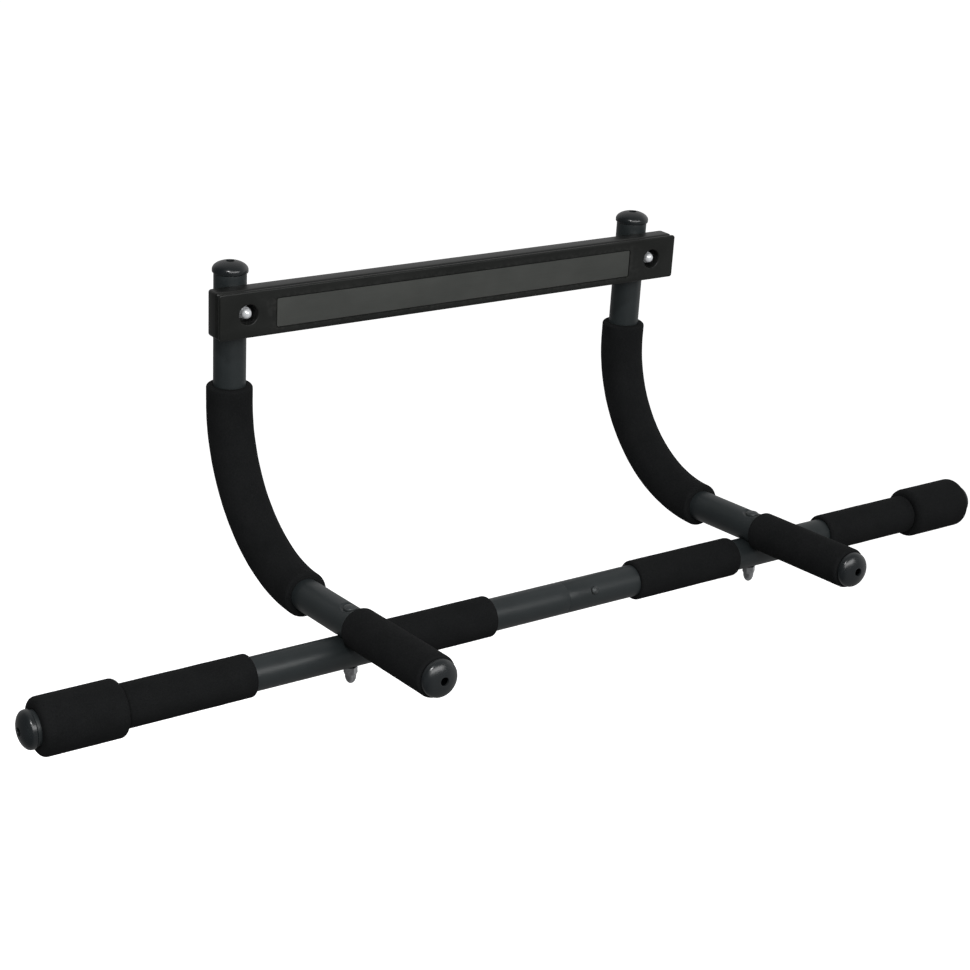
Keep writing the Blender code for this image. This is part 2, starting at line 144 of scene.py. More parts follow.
def straight(start, heading, normal=None):
    """A straight path. Without a normal, it has any one that suits."""
    heading = Vector(heading).normalized()
    normal = Vector(normal) if normal is not None else heading.orthogonal().normalized()

    def at(distance):
        return start + heading * distance, heading, normal

    return at


class ArmPath:
    """The arm's axis: down the upright, round the bend and forward along the leg.

    Distances start at its top.
    """

    def __init__(self, side):
        bolt = bolt_point(side)
        corner = bolt - LEG_FORWARD * ((bolt.y - ARM_Y) / LEG_FORWARD.y)
        self.turn = QUARTER_TURN + ARM_TILT
        tangent = ARM_BEND_R * math.tan(self.turn / 2)
        self.top = Vector((side * ARM_X, ARM_Y, ARM_TOP_Z))
        self.centre = corner + Z_AXIS * tangent - Y_AXIS * ARM_BEND_R
        self.bend_start = ARM_TOP_Z - self.centre.z
        self.bend_end = self.bend_start + ARM_BEND_R * self.turn
        self.bolt = self.bend_end + (bolt - corner).length - tangent

    def __call__(self, distance):
        if distance < self.bend_start:
            return self.top - Z_AXIS * distance, -Z_AXIS, Y_AXIS
        if distance < self.bend_end:
            angle = (distance - self.bend_start) / ARM_BEND_R
            outward = Y_AXIS * math.cos(angle) - Z_AXIS * math.sin(angle)
            heading = -Y_AXIS * math.sin(angle) - Z_AXIS * math.cos(angle)
            return self.centre + ARM_BEND_R * outward, heading, outward
        end = self.centre - LEG_UP * ARM_BEND_R
        return end + LEG_FORWARD * (distance - self.bend_end), LEG_FORWARD, -LEG_UP


# Profiles: lists of (distance, radius) points.


def fillet(points, radii, steps=6):
    """The profile with each corner rounded to its radius. A radius of 0 keeps the corner."""
    made = []
    for index, (point, radius) in enumerate(zip(points, radii)):
        if radius == 0:
            made.append(point)
            continue
        here = Vector(point)
        before = Vector(points[index - 1]) - here
        after = Vector(points[(index + 1) % len(points)]) - here
        half = before.angle(after) / 2
        reach = radius / math.tan(half)
        centre = here + (before.normalized() + after.normalized()).normalized() * radius / math.sin(half)
        start = here + before.normalized() * reach - centre
        end = here + after.normalized() * reach - centre
        sweep = start.angle_signed(end)
        for step in range(steps + 1):
            turned = start.copy()
            turned.rotate(Matrix.Rotation(-sweep * step / steps, 2))
            made.append(tuple(centre + turned))
    return made


def spaced(profile, longest, closed=True, shortest=0.0):
    """The profile with extra points, so that no step of it is longer than longest.

    A step that is no longer than shortest stays whole.
    """
    made = []
    following = profile[1:] + (profile[:1] if closed else [])
    for (x, y), (next_x, next_y) in zip(profile, following):
        length = math.hypot(next_x - x, next_y - y)
        parts = max(1, math.ceil(length / longest)) if length > shortest else 1
        for part in range(parts):
            made.append((x + (next_x - x) * part / parts, y + (next_y - y) * part / parts))
    return made if closed else made + [profile[-1]]


def quarter(centre, reach, start, end, steps=12):
    """Points on an ellipse, as (distance, radius), from one angle to another."""
    angles = [start + (end - start) * step / steps for step in range(steps + 1)]
    return [(centre[0] + reach[0] * math.sin(a), centre[1] + reach[1] * math.cos(a)) for a in angles]


def dome(low, top, radius, steps=14):
    """Half an ellipse's arch, from its full radius at low to a point on the axis at top."""
    return quarter((low, 0), (top - low, radius), 0, QUARTER_TURN, steps)[:-1] + [(top, 0)]


# Mesh helpers.


def piece(name, bm, node, slot, body="frame", sharp=math.radians(32), finish=None):
    """Makes an object from a bmesh, parents it to its body's empty, hides the node it stands for, and gives
    it its slot's material, or the finish given.

    With body=None it gets no body.
    """
    bmesh.ops.recalc_face_normals(bm, faces=bm.faces[:])
    mesh = bpy.data.meshes.new(name)
    bm.to_mesh(mesh)
    bm.free()
    mesh.shade_smooth()
    mesh.set_sharp_from_angle(angle=sharp)
    mesh.materials.append(finish or MATERIAL[slot])
    made = bpy.data.objects.new(name, mesh)
    bpy.context.scene.collection.objects.link(made)
    if body is not None:
        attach(made, body)
    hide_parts(node)
    return made


def turned(path, profile, sides=72, closed=True, shape=None, radius_at=None):
    """A bmesh turned round a path. A profile that isn't closed ends on the axis at both ends.

    radius_at(distance, radius, angle) changes a radius, and shape(point, outward, radius) moves a point.
    """
    bm = bmesh.new()
    rings = []
    for distance, radius in profile:
        centre, heading, normal = path(distance)
        across = heading.cross(normal)
        if radius < TINY:
            rings.append([bm.verts.new(centre)])
            continue
        ring = []
        for side in range(sides):
            angle = math.tau * side / sides
            outward = normal * math.cos(angle) + across * math.sin(angle)
            length = radius if radius_at is None else radius_at(distance, radius, angle)
            point = centre + outward * length
            if shape is not None:
                point = shape(point, outward, radius)
            ring.append(bm.verts.new(point))
        rings.append(ring)
    pairs = list(zip(rings, rings[1:]))
    if closed:
        pairs.append((rings[-1], rings[0]))
    for first, second in pairs:
        for side in range(sides):
            following = (side + 1) % sides
            corners = [first[side % len(first)], first[following % len(first)]]
            corners += [second[following % len(second)], second[side % len(second)]]
            unique = list(dict.fromkeys(corners))
            if len(unique) > 2:
                bm.faces.new(unique)
    return bm


def skin(bm, rings):
    """Faces between rings of as many points each, and one across each end."""
    for first, second in zip(rings, rings[1:]):
        for index in range(len(first)):
            following = (index + 1) % len(first)
            bm.faces.new((first[index], first[following], second[following], second[index]))
    bm.faces.new(rings[0])
    bm.faces.new(rings[-1])
    return bm


def rounded_outline(low, high, corner, inset, steps=8):
    """Points round a rectangle with rounded corners, the same number whatever the inset."""
    smallest = 0.05 * MM
    side_step, side_shortest = 6 * MM, 10 * MM
    radius = max(corner - inset, smallest)
    centres = [
        (high.x - corner, high.z - corner),
        (low.x + corner, high.z - corner),
        (low.x + corner, low.z + corner),
        (high.x - corner, low.z + corner),
    ]
    points = []
    for turn, (x, z) in enumerate(centres):
        for step in range(steps + 1):
            angle = QUARTER_TURN * (turn + step / steps)
            points.append((x + radius * math.cos(angle), z + radius * math.sin(angle)))
    return spaced(points, side_step, shortest=side_shortest)


def slab(low, high, corner, front_round, back_round, neck=0.0):
    """A plate in the XZ plane with rounded corners, and rounded edges on its front (-Y) and its back.

    A neck is this deep and narrower all round: it leaves a shadow gap in front of the plate.
    """
    steps = 5
    angles = [QUARTER_TURN * step / steps for step in range(steps + 1)]
    levels = [(low.y, front_round)] if neck else []
    for angle in angles:
        depth = neck + front_round * (1 - math.cos(angle))
        levels.append((low.y + depth, front_round * (1 - math.sin(angle))))
    for angle in reversed(angles):
        levels.append((high.y - back_round * (1 - math.cos(angle)), back_round * (1 - math.sin(angle))))
    bm = bmesh.new()
    rings = []
    for y, inset in levels:
        rings.append([bm.verts.new((x, y, z)) for x, z in rounded_outline(low, high, corner, inset)])
    return skin(bm, rings)


def carve(bm, *cutters):
    """The bmesh with other bmeshes cut out of it. The cutters are used up."""
    made = bpy.data.objects.new("carved", bpy.data.meshes.new("carved"))
    bmesh.ops.recalc_face_normals(bm, faces=bm.faces[:])
    bm.to_mesh(made.data)
    bm.free()
    bpy.context.scene.collection.objects.link(made)
    extra = []
    for cutter in cutters:
        mesh = bpy.data.meshes.new("cutter")
        bmesh.ops.recalc_face_normals(cutter, faces=cutter.faces[:])
        cutter.to_mesh(mesh)
        cutter.free()
        tool = bpy.data.objects.new("cutter", mesh)
        bpy.context.scene.collection.objects.link(tool)
        modifier = made.modifiers.new("cut", "BOOLEAN")
        modifier.object = tool
        modifier.solver = "EXACT"
        extra.append(tool)
    bpy.context.view_layer.update()
    evaluated = made.evaluated_get(bpy.context.evaluated_depsgraph_get())
    result = bmesh.new()
    result.from_mesh(evaluated.to_mesh())
    evaluated.to_mesh_clear()
    for used in (made, *extra):
        mesh = used.data
        bpy.data.objects.remove(used, do_unlink=True)
        bpy.data.meshes.remove(mesh)
    return result


def rod(start, end, radius, sides=48):
    """A plain round cutter between two points."""
    along = end - start
    profile = [(0, 0), (0, radius), (along.length, radius), (along.length, 0)]
    return turned(straight(start, along), profile, sides, False)


# Materials.


class Nodes:
    """A material's node tree, with short ways to add what every material here needs."""

    def __init__(self, name):
        self.material = bpy.data.materials.new(name)
        self.material.use_nodes = True
        self.tree = self.material.node_tree
        self.shader = self.tree.nodes["Principled BSDF"]
        self.place = self.tree.nodes.new("ShaderNodeTexCoord").outputs["Object"]
        self.normal = None

    def set(self, **values):
        for name, value in values.items():
            self.shader.inputs[name.replace("_", " ")].default_value = value

    def join(self, source, target):
        self.tree.links.new(source, target)

    def noise(self, scale, detail=3.0, roughness=0.5, stretch=None):
        node = self.tree.nodes.new("ShaderNodeTexNoise")
        node.inputs["Scale"].default_value = scale
        node.inputs["Detail"].default_value = detail
        node.inputs["Roughness"].default_value = roughness
        self.join(self.stretched(stretch), node.inputs["Vector"])
        return node.outputs["Fac"]

    def cells(self, scale, feature="F1", smoothness=None):
        node = self.tree.nodes.new("ShaderNodeTexVoronoi")
        node.feature = feature
        node.inputs["Scale"].default_value = scale
        if smoothness is not None:
            node.inputs["Smoothness"].default_value = smoothness
        self.join(self.place, node.inputs["Vector"])
        return node.outputs["Distance"]

    def stretched(self, stretch):
        if stretch is None:
            return self.place
        node = self.tree.nodes.new("ShaderNodeMapping")
        node.inputs["Scale"].default_value = stretch
        self.join(self.place, node.inputs["Vector"])
        return node.outputs["Vector"]

    def between(self, source, low, high, start=0.0, end=1.0):
        """Maps source from low..high to start..end, clamped."""
        node = self.tree.nodes.new("ShaderNodeMapRange")
        for name, value in (("From Min", low), ("From Max", high), ("To Min", start), ("To Max", end)):
            node.inputs[name].default_value = value
        self.join(source, node.inputs["Value"])
        return node.outputs["Result"]

    def math(self, operation, first, second):
        node = self.tree.nodes.new("ShaderNodeMath")
        node.operation = operation
        for socket, value in zip(node.inputs, (first, second)):
            if isinstance(value, (int, float)):
                socket.default_value = value
            else:
                self.join(value, socket)
        return node.outputs["Value"]

    def mix(self, factor, first, second):
        node = self.tree.nodes.new("ShaderNodeMix")
        node.data_type = "RGBA"
        for name, value in (("A", first), ("B", second)):
            socket = next(s for s in node.inputs if s.name == name and s.type == "RGBA")
            if isinstance(value, tuple):
                socket.default_value = (*value, 1)
            else:
                self.join(value, socket)
        self.join(factor, node.inputs["Factor"])
        return next(s for s in node.outputs if s.type == "RGBA")

    def edges(self, low=0.52, high=0.60):
        """Where the surface is convex: edges that hands and shelves rub."""
        node = self.tree.nodes.new("ShaderNodeNewGeometry")
        return self.between(node.outputs["Pointiness"], low, high)

    def bump(self, height, depth, strength=1.0):
        """Adds a layer of relief, depth metres deep."""
        node = self.tree.nodes.new("ShaderNodeBump")
        node.inputs["Strength"].default_value = strength
        node.inputs["Distance"].default_value = depth
        self.join(height, node.inputs["Height"])
        if self.normal is not None:
            self.join(self.normal, node.inputs["Normal"])
        self.normal = node.outputs["Normal"]

    def done(self, colour, roughness):
        """Joins the colour, the roughness and the relief to the shader."""
        self.join(colour, self.shader.inputs["Base Color"])
        self.join(roughness, self.shader.inputs["Roughness"])
        if self.normal is not None:
            self.join(self.normal, self.shader.inputs["Normal"])
        return self.material


def powder_coat():
    """Dark grey powder paint on steel tube: orange peel, a fine speckle, and rubbed edges."""
    nodes = Nodes("powder_coat")
    nodes.set(Specular_IOR_Level=0.45)
    peel = nodes.noise(900, 2.0)
    grain = nodes.noise(3800, 2.0)
    patches = nodes.noise(28, 3.0)
    nodes.bump(peel, 0.05 * MM, 0.5)
    nodes.bump(grain, 0.02 * MM, 0.4)
    speckle = nodes.math("ADD", nodes.math("MULTIPLY", grain, 0.6), nodes.math("MULTIPLY", patches, 0.4))
    colour = nodes.mix(
        nodes.between(speckle, 0.35, 0.65), (0.0135, 0.0170, 0.0180), (0.0215, 0.0265, 0.0280)
    )
    chips = nodes.between(nodes.noise(160, 4.0), 0.5, 0.62)
    worn = nodes.math("MULTIPLY", nodes.edges(0.54, 0.66), chips)
    colour = nodes.mix(worn, colour, (0.07, 0.073, 0.075))
    return nodes.done(colour, nodes.between(patches, 0.3, 0.7, 0.35, 0.44))


def foam():
    """Black closed-cell foam: a skin of small cells, faintly mottled, with the marks of handling, and
    painted shade darkening its pores.
    """
    nodes = Nodes("foam")
    nodes.set(Specular_IOR_Level=0.08)
    cells = nodes.cells(1150, "SMOOTH_F1", 0.4)
    pores = nodes.cells(430)
    fine = nodes.noise(2600, 3.0)
    waves = nodes.noise(55, 4.0)
    nodes.bump(waves, 0.5 * MM, 0.35)
    nodes.bump(cells, 0.12 * MM, 0.6)
    nodes.bump(nodes.between(pores, 0.0, 0.22), 0.10 * MM, 0.5)
    nodes.bump(fine, 0.04 * MM, 0.6)
    tone = nodes.math("ADD", nodes.math("MULTIPLY", waves, 0.6), nodes.math("MULTIPLY", cells, 0.5))
    skin_tone = nodes.between(tone, 0.3, 0.75)
    colour = nodes.mix(skin_tone, (0.0060, 0.0065, 0.0068), (0.0109, 0.0114, 0.0118))
    # Painted shade: the pores' hollows are darkened in the colour.
    pit_shade = nodes.between(pores, 0.05, 0.16)
    colour = nodes.mix(pit_shade, (0.0022, 0.0023, 0.0025), colour)
    handled = nodes.between(nodes.noise(18, 5.0), 0.56, 0.70)
    scuffs = nodes.math("MULTIPLY", handled, nodes.between(nodes.noise(700, 3.0), 0.5, 0.62))
    colour = nodes.mix(nodes.math("MULTIPLY", scuffs, 0.35), colour, (0.014, 0.0145, 0.015))
    return nodes.done(colour, nodes.between(waves, 0.3, 0.7, 0.86, 0.97))


def moulded(name, dark, light, roughness, specular, grain_depth):
    """Moulded plastic: a spark-eroded grain, slow flow marks, and edges rubbed smooth."""
    nodes = Nodes(name)
    nodes.set(Specular_IOR_Level=specular)
    grain = nodes.noise(2400, 2.0)
    flow = nodes.noise(36, 3.0, stretch=(0.35, 1, 1))
    nodes.bump(grain, grain_depth, 0.6)
    nodes.bump(flow, 0.20 * MM, 0.12)
    colour = nodes.mix(nodes.between(flow, 0.3, 0.7), dark, light)
    rubbed = nodes.math("MULTIPLY", nodes.edges(), nodes.between(nodes.noise(240, 4.0), 0.42, 0.6))
    colour = nodes.mix(nodes.math("MULTIPLY", rubbed, 0.5), colour, (0.06, 0.06, 0.058))
    marks = nodes.between(nodes.noise(900, 2.0, stretch=(0.05, 1, 1)), 0.62, 0.72)
    base_roughness = nodes.between(flow, 0.3, 0.7, *roughness)
    return nodes.done(colour, nodes.math("ADD", base_roughness, nodes.math("MULTIPLY", marks, 0.08)))


def label_stock():
    """A blank self-adhesive plate in matt grey, with a slight cloudiness and fine brushing along it."""
    nodes = Nodes("label_stock")
    nodes.set(Specular_IOR_Level=0.30)
    clouds = nodes.noise(46, 4.0, stretch=(0.6, 1, 1))
    brushing = nodes.noise(900, 3.0, stretch=(0.03, 1, 1))
    grain = nodes.noise(3000, 2.0)
    nodes.bump(brushing, 0.02 * MM, 0.5)
    nodes.bump(clouds, 0.10 * MM, 0.25)
    tone = nodes.math("ADD", nodes.math("MULTIPLY", clouds, 0.7), nodes.math("MULTIPLY", grain, 0.3))
    cloud_tone = nodes.between(tone, 0.36, 0.64)
    colour = nodes.mix(cloud_tone, (0.0430, 0.0455, 0.0421), (0.0550, 0.0576, 0.0534))
    return nodes.done(colour, nodes.between(brushing, 0.3, 0.7, 0.50, 0.62))


def bare_metal(name, colour, dull, roughness, metallic=1.0):
    """Plated or bare steel: fine machining marks, and dull patches where the plating has aged."""
    nodes = Nodes(name)
    nodes.set(Metallic=metallic)
    marks = nodes.noise(2200, 3.0)
    age = nodes.noise(420, 4.0)
    nodes.bump(marks, 0.006 * MM, 0.4)
    shade = nodes.mix(nodes.between(age, 0.4, 0.7), colour, dull)
    return nodes.done(shade, nodes.between(age, 0.3, 0.7, *roughness))


MATERIAL = {
    "tube_paint": powder_coat(),
    "foam": foam(),
    "plug": moulded(
        "cap_plastic",
        dark=(0.0085, 0.0108, 0.0120),
        light=(0.0120, 0.0145, 0.0160),
        roughness=(0.23, 0.30),
        specular=0.62,
        grain_depth=0.01 * MM,
    ),
    "moulding": moulded(
        "body_plastic",
        dark=(0.0046, 0.0052, 0.0047),
        light=(0.0068, 0.0074, 0.0068),
        roughness=(0.32, 0.40),
        specular=0.52,
        grain_depth=0.03 * MM,
    ),
    "cover": moulded(
        "cover_plastic",
        dark=(0.0058, 0.0066, 0.0058),
        light=(0.0085, 0.0094, 0.0084),
        roughness=(0.34, 0.42),
        specular=0.36,
        grain_depth=0.02 * MM,
    ),
    "label": label_stock(),
    # Partly the plating's own brightness, partly a painted reflection: the white base, mostly diffuse,
    # stands in for the light the plated nuts mirror.
    "bright_plate": bare_metal(
        "bright_plate",
        colour=(0.93, 0.95, 0.97),
        dull=(0.74, 0.76, 0.78),
        roughness=(0.10, 0.20),
        metallic=0.4,
    ),
    "black_bolt": bare_metal(
        "black_plate",
        colour=(0.042, 0.047, 0.049),
        dull=(0.058, 0.063, 0.065),
        roughness=(0.36, 0.48),
        metallic=0.3,
    ),
    "spring_steel": bare_metal(
        "spring_steel",
        colour=(0.36, 0.36, 0.35),
        dull=(0.27, 0.26, 0.25),
        roughness=(0.28, 0.40),
    ),
}


# The long bar.


def bolt_hole(side):
    """A cutter from below the long bar to above the leg."""
    start = on_bar(side * ARM_X) - LEG_UP * 2 * TUBE_R
    return rod(start, start + LEG_UP * 5 * TUBE_R, BOLT_HOLE_R)


def bar_tubes():
    """Two tubes that meet in a hairline joint.

    The left one's end is drawn down and runs on inside the right one.
    """
    edge = 0.35 * MM
    joint_edge = 0.12 * MM
    step = 0.6 * MM
    bore_taper = 6 * MM
    spigot_r = BORE_R - GAP
    left = [
        (-BAR_HALF, BORE_R),
        (-BAR_HALF, TUBE_R),
        (-joint_edge, TUBE_R),
        (-joint_edge, TUBE_R - step),
        (0.0, spigot_r),
        (SPIGOT_LENGTH, spigot_r),
        (SPIGOT_LENGTH, spigot_r - WALL),
        (-step, spigot_r - WALL),
        (-bore_taper, BORE_R),
    ]
    right = [(0.0, BORE_R), (0.0, TUBE_R), (BAR_HALF, TUBE_R), (BAR_HALF, BORE_R)]
    profiles = {
        "left": fillet(left, [0, edge, joint_edge, 0, 0, edge, 0, 0, 0], 4),
        "right": fillet(right, [0, joint_edge, edge, 0], 4),
    }
    for word, side in SIDES:
        name = f"bar_tube_{word}"
        bm = turned(straight(on_bar(JOINT_X), X_AXIS, Z_AXIS), spaced(profiles[word], 12 * MM), 96)
        start = on_bar(BUTTON_X)
        button_hole = rod(start, start + BUTTON_OUT * 2 * TUBE_R, BUTTON_R + GAP)
        bm = carve(bm, bolt_hole(side), button_hole)
        piece(name + "_paint", bm, name, "tube_paint")


def snap_button():
    """A domed pin, and the flange that keeps it in the tube."""
    points = [vertex.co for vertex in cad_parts["snap_button"].data.vertices]
    heights = [(point - on_bar(BUTTON_X)).dot(BUTTON_OUT) for point in points]
    low, top = min(heights), max(heights)
    flange_r, flange_top = size("snap_button").x / 2, low + 1.4 * MM
    flange_edge = 0.25 * MM
    shoulder = top - 2.0 * MM
    profile = fillet(
        [(low, 0), (low, flange_r), (flange_top, flange_r), (flange_top, BUTTON_R), (shoulder, BUTTON_R)],
        [0, flange_edge, flange_edge, 0, 0],
        4,
    )
    profile += dome(shoulder, top, BUTTON_R, 10)[1:]
    bm = turned(straight(on_bar(BUTTON_X), BUTTON_OUT), profile, 48, False)
    piece("snap_button_pin", bm, "snap_button", "black_bolt", body="button")


# Foam.


def foam_shape(seed, bore, depth):
    """Uneven foam: slow swells and small dents on the outside, nothing on the bore."""
    still, full = 0.3 * MM, 2.5 * MM  # heights above the bore, where nothing moves and where all does
    layers = ((32, 0.55), (95, 0.30), (260, 0.15))  # noise per metre, and its share
    sunk = 0.25  # lowers the swells, so that hardly any stand above the foam's own radius

    def shape(point, outward, radius):
        if radius < bore + still:
            return point
        share = min(1.0, (radius - bore) / full)
        swell = sum(noise.noise(point * scale + seed) * weight for scale, weight in layers)
        return point + outward * (swell - sunk) * depth * share

    return shape


def foam_tube(name, path, start, end, rounding, outer, seed, depth=0.22 * MM):
    """A foam sleeve on a tube, with its ends' outer edges rounded."""
    bore = TUBE_R + GAP
    end_face = 0.4 * MM
    longest = 2.2 * MM
    across = min(rounding, outer - bore - end_face)
    near = quarter((start + rounding, outer - across), (-rounding, across), QUARTER_TURN, 0, 10)
    far = quarter((end - rounding, outer - across), (rounding, across), 0, QUARTER_TURN, 10)
    profile = [(start, bore), *near, *far, (end, bore)]
    offset = seed * Vector((3.7, 1.9, 5.3))
    bm = turned(path, spaced(profile, longest), 96, shape=foam_shape(offset, bore, depth))
    made = piece(name + "_foam", bm, name, "foam", sharp=math.radians(60))


def bar_foams():
    path = straight(on_bar(0), X_AXIS, Z_AXIS)
    kinds = ((2, "inner_grip", THIN_ROUND), (6, "outer_grip", THIN_ROUND), (10, "bumper", THICK_ROUND))
    for word, side in SIDES:
        for seed, name, rounding in kinds:
            node = f"{name}_{word}"
            low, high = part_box(node)
            foam_tube(node, path, low.x, high.x, rounding, (high.z - low.z) / 2, seed + side)


def arm_foams():
    for word, side in SIDES:
        path = ArmPath(side)
        sleeve = f"arm_sleeve_{word}"
        start = ARM_TOP_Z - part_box(sleeve)[1].z
        outer = size(sleeve).x / 2
        foam_tube(sleeve, path, start, path.bend_end, THIN_ROUND, outer, 11 + side, 0.25 * MM)
        grip = f"arm_grip_{word}"
        outer = size(grip).x / 2
        half = (size(grip).y - 2 * outer * math.sin(ARM_TILT)) / 2 / math.cos(ARM_TILT)
        centre = path.bolt + (middle(grip) - bolt_point(side)).dot(LEG_FORWARD)
        foam_tube(grip, path, centre - half, centre + half, THIN_ROUND, outer, 17 + side)


# Plugs.


def plug(node, position, axis):
    """A hollow plug: barrel, rim and a dome with a centre hole, whose edges are all softened."""
    cap_r, rim, height = 15.3 * MM, 2.7 * MM, 7.5 * MM
    hole_r, shell, barrel = 3.5 * MM, 1.8 * MM, 12 * MM
    barrel_edge, rim_edge, longest = 0.4 * MM, 0.8 * MM, 4 * MM
    lip_angle = 0.05  # the dome stops this far before the hole, where the lip turns in
    foot_angle = 0.72  # where the inside of the dome meets the barrel's shoulder
    barrel_r = BORE_R - GAP
    inner_r = barrel_r - shell
    outside = quarter((rim, 0), (height, cap_r), 0, math.acos(hole_r / cap_r) - lip_angle, 24)
    last = outside[-1]
    # The lip turns in round the hole.
    lip = [
        (last[0] + 0.06 * MM, last[1] - 0.22 * MM),
        (last[0] - 0.06 * MM, hole_r + 0.08 * MM),
        (last[0] - 0.35 * MM, hole_r),
    ]
    inner_start = math.acos(hole_r / (cap_r - shell))
    inside = quarter((rim, 0), (height - shell, cap_r - shell), inner_start, foot_angle, 8)
    base = fillet(
        [(-barrel, inner_r), (-barrel, barrel_r), (GAP, barrel_r), (GAP, cap_r), (rim, cap_r)],
        [0, barrel_edge, 0, rim_edge, 0],
        5,
    )
    profile = base[:-1] + outside + lip + inside + [(rim, inner_r)]
    bm = turned(straight(position, axis), spaced(profile, longest), 72)
    piece(node + "_plug", bm, node, "plug")


def plugs():
    for word, side in SIDES:
        path = ArmPath(side)
        plug(f"bar_cap_{word}", on_bar(JOINT_X + side * BAR_HALF), X_AXIS * side)
        plug(f"arm_top_cap_{word}", path(0)[0], Z_AXIS)
        plug(f"arm_grip_cap_{word}", path(path.bolt + LEG_REACH)[0], LEG_FORWARD)


# The J arms.


def soft_max(value, floor, blend):
    """The larger of the two, with the corner between them smoothed over a distance."""
    if value - floor > blend:
        return value
    if floor - value > blend:
        return floor
    return (value + floor) / 2 + ((value - floor) ** 2 + blend**2) / (4 * blend)


def pressed(side):
    """The press's work on a leg: a saddle over the long bar, and a flat seat on top for the screw."""
    top = bolt_point(side) + LEG_UP * TUBE_R
    seat_depth, seat_r, seat_blend = 2.3 * MM, 6.4 * MM, 2.0 * MM
    saddle_fillet, seat_fillet = 1.6 * MM, 0.35 * MM

    def shape(point, outward, radius):
        inside = TUBE_R - radius
        from_bar = Vector((0, point.y - BAR.x, point.z - BAR.y))
        saddle_r = TUBE_R + GAP + inside
        reach = soft_max(from_bar.length, saddle_r, saddle_fillet)
        if reach > from_bar.length:
            point = point + from_bar.normalized() * (reach - from_bar.length)
        height = (point - top).dot(LEG_UP)
        away = (point - top - LEG_UP * height).length
        if height > -TUBE_R and away < seat_r + 3 * seat_blend:
            ramp = max(0.0, (away - seat_r)) ** 2 / (2 * seat_blend)
            floor = -seat_depth - inside + ramp
            lowered = -soft_max(-height, -floor, seat_fillet)
            point = point + LEG_UP * min(0.0, lowered - height)
        return point

    return shape


def arm_profile(path, end):
    """The tube's outside and bore, with close rings where the press has worked."""
    edge = 0.35 * MM
    pressed_half = 28 * MM
    close_step, wide_step = 0.8 * MM, 3.5 * MM
    corners = fillet([(0.0, BORE_R), (0.0, TUBE_R), (end, TUBE_R), (end, BORE_R)], [0, edge, edge, 0], 4)
    split = next(index for index, (distance, _) in enumerate(corners) if distance > end / 2)

    def rings(low, high, radius):
        stops = [low]
        while stops[-1] < high - TINY:
            from_bolt = stops[-1] - path.bolt
            close = -pressed_half - TINY <= from_bolt < pressed_half
            stops.append(min(stops[-1] + (close_step if close else wide_step), high))
        return [(stop, radius) for stop in stops]

    outside = rings(corners[split - 1][0], corners[split][0], TUBE_R)
    bore = rings(0.0, end, BORE_R)[::-1]
    return corners[1 : split - 1] + outside + corners[split + 1 : -1] + bore


def arms():
    forward, backward = 30 * MM, 50 * MM  # of the cross bar's middle, for the hole's cutter
    for word, side in SIDES:
        path = ArmPath(side)
        name = f"arm_{word}"
        bm = turned(path, arm_profile(path, path.bolt + LEG_REACH), 96, shape=pressed(side))
        bolt = Vector((side * ARM_X, 0, CROSS_BOLT_Z))
        cross_hole = rod(bolt - Y_AXIS * forward, bolt + Y_AXIS * backward, BOLT_HOLE_R)
        bm = carve(bm, bolt_hole(side), cross_hole)
        piece(name + "_paint", bm, name, "tube_paint")


# The cross bar.


def counterbore(side):
    """A cutter for a stepped hole with a softened mouth."""
    lip, lead_in, through = 0.7 * MM, 3 * MM, 20 * MM
    steps = 6
    profile = [(-lead_in, 0), (-lead_in, COUNTERBORE_R + lip)]
    for step in range(steps + 1):
        angle = QUARTER_TURN * step / steps
        profile.append((lip * (1 - math.cos(angle)), COUNTERBORE_R + lip * (1 - math.sin(angle))))
    floor, beyond = COUNTERBORE_DEPTH, COUNTERBORE_DEPTH + through
    profile += [(floor, COUNTERBORE_R), (floor, BOLT_HOLE_R), (beyond, BOLT_HOLE_R), (beyond, 0)]
    start = Vector((side * ARM_X, CROSS_FRONT_Y, CROSS_BOLT_Z))
    return turned(straight(start, Y_AXIS), profile, 64, False)


def upright_groove(side, low_z, high_z):
    """A cutter for the groove that an upright lies in."""
    beyond = 20 * MM
    start = Vector((side * ARM_X, ARM_Y, low_z - beyond))
    return rod(start, Vector((side * ARM_X, ARM_Y, high_z + beyond)), TUBE_R + GAP, 96)


def cross_bar():
    """A body with grooves for the arms, a cover on its front, and a blank plate in the cover's recess."""
    low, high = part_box("cross_bar_body")
    body = slab(low, high, 2.6 * MM, 2.6 * MM, 2.6 * MM, neck=2.2 * MM)
    grooves = [upright_groove(side, low.z, high.z) for _, side in SIDES]
    body = carve(body, *grooves, *(counterbore(side) for _, side in SIDES))
    piece("cross_bar_body_shell", body, "cross_bar_body", "moulding")

    face = slab(*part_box("cross_bar_face"), 2.5 * MM, 1.4 * MM, 0.7 * MM)
    low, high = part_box("label_plate")
    margin = Vector((0.9 * MM, GAP, 0.9 * MM))
    lead_in = Y_AXIS * 2 * MM
    recess = slab(low - margin - lead_in, high + margin, 2.0 * MM, 0.05 * MM, 0.05 * MM)
    face = carve(face, recess, *(counterbore(side) for _, side in SIDES))
    piece("cross_bar_face_cover", face, "cross_bar_face", "cover")

    plate = slab(low, high, 1.3 * MM, 0.2 * MM, 0.1 * MM)
    piece("label_plate_blank", plate, "label_plate", "label")


# Fasteners.


def hexagon(half_flats, chamfer_from):
    """Radius of a hexagonal nut whose corners are turned off by a cone, below the height chamfer_from."""
    chamfer_r, slope = half_flats * 1.02, 0.6

    def radius_at(distance, radius, angle):
        if radius < half_flats - TINY:
            return radius
        turn = (angle + math.pi / 6) % (math.pi / 3) - math.pi / 6
        cone = chamfer_r + max(0.0, chamfer_from - distance) * slope
        return min(half_flats / math.cos(turn), cone)

    return radius_at


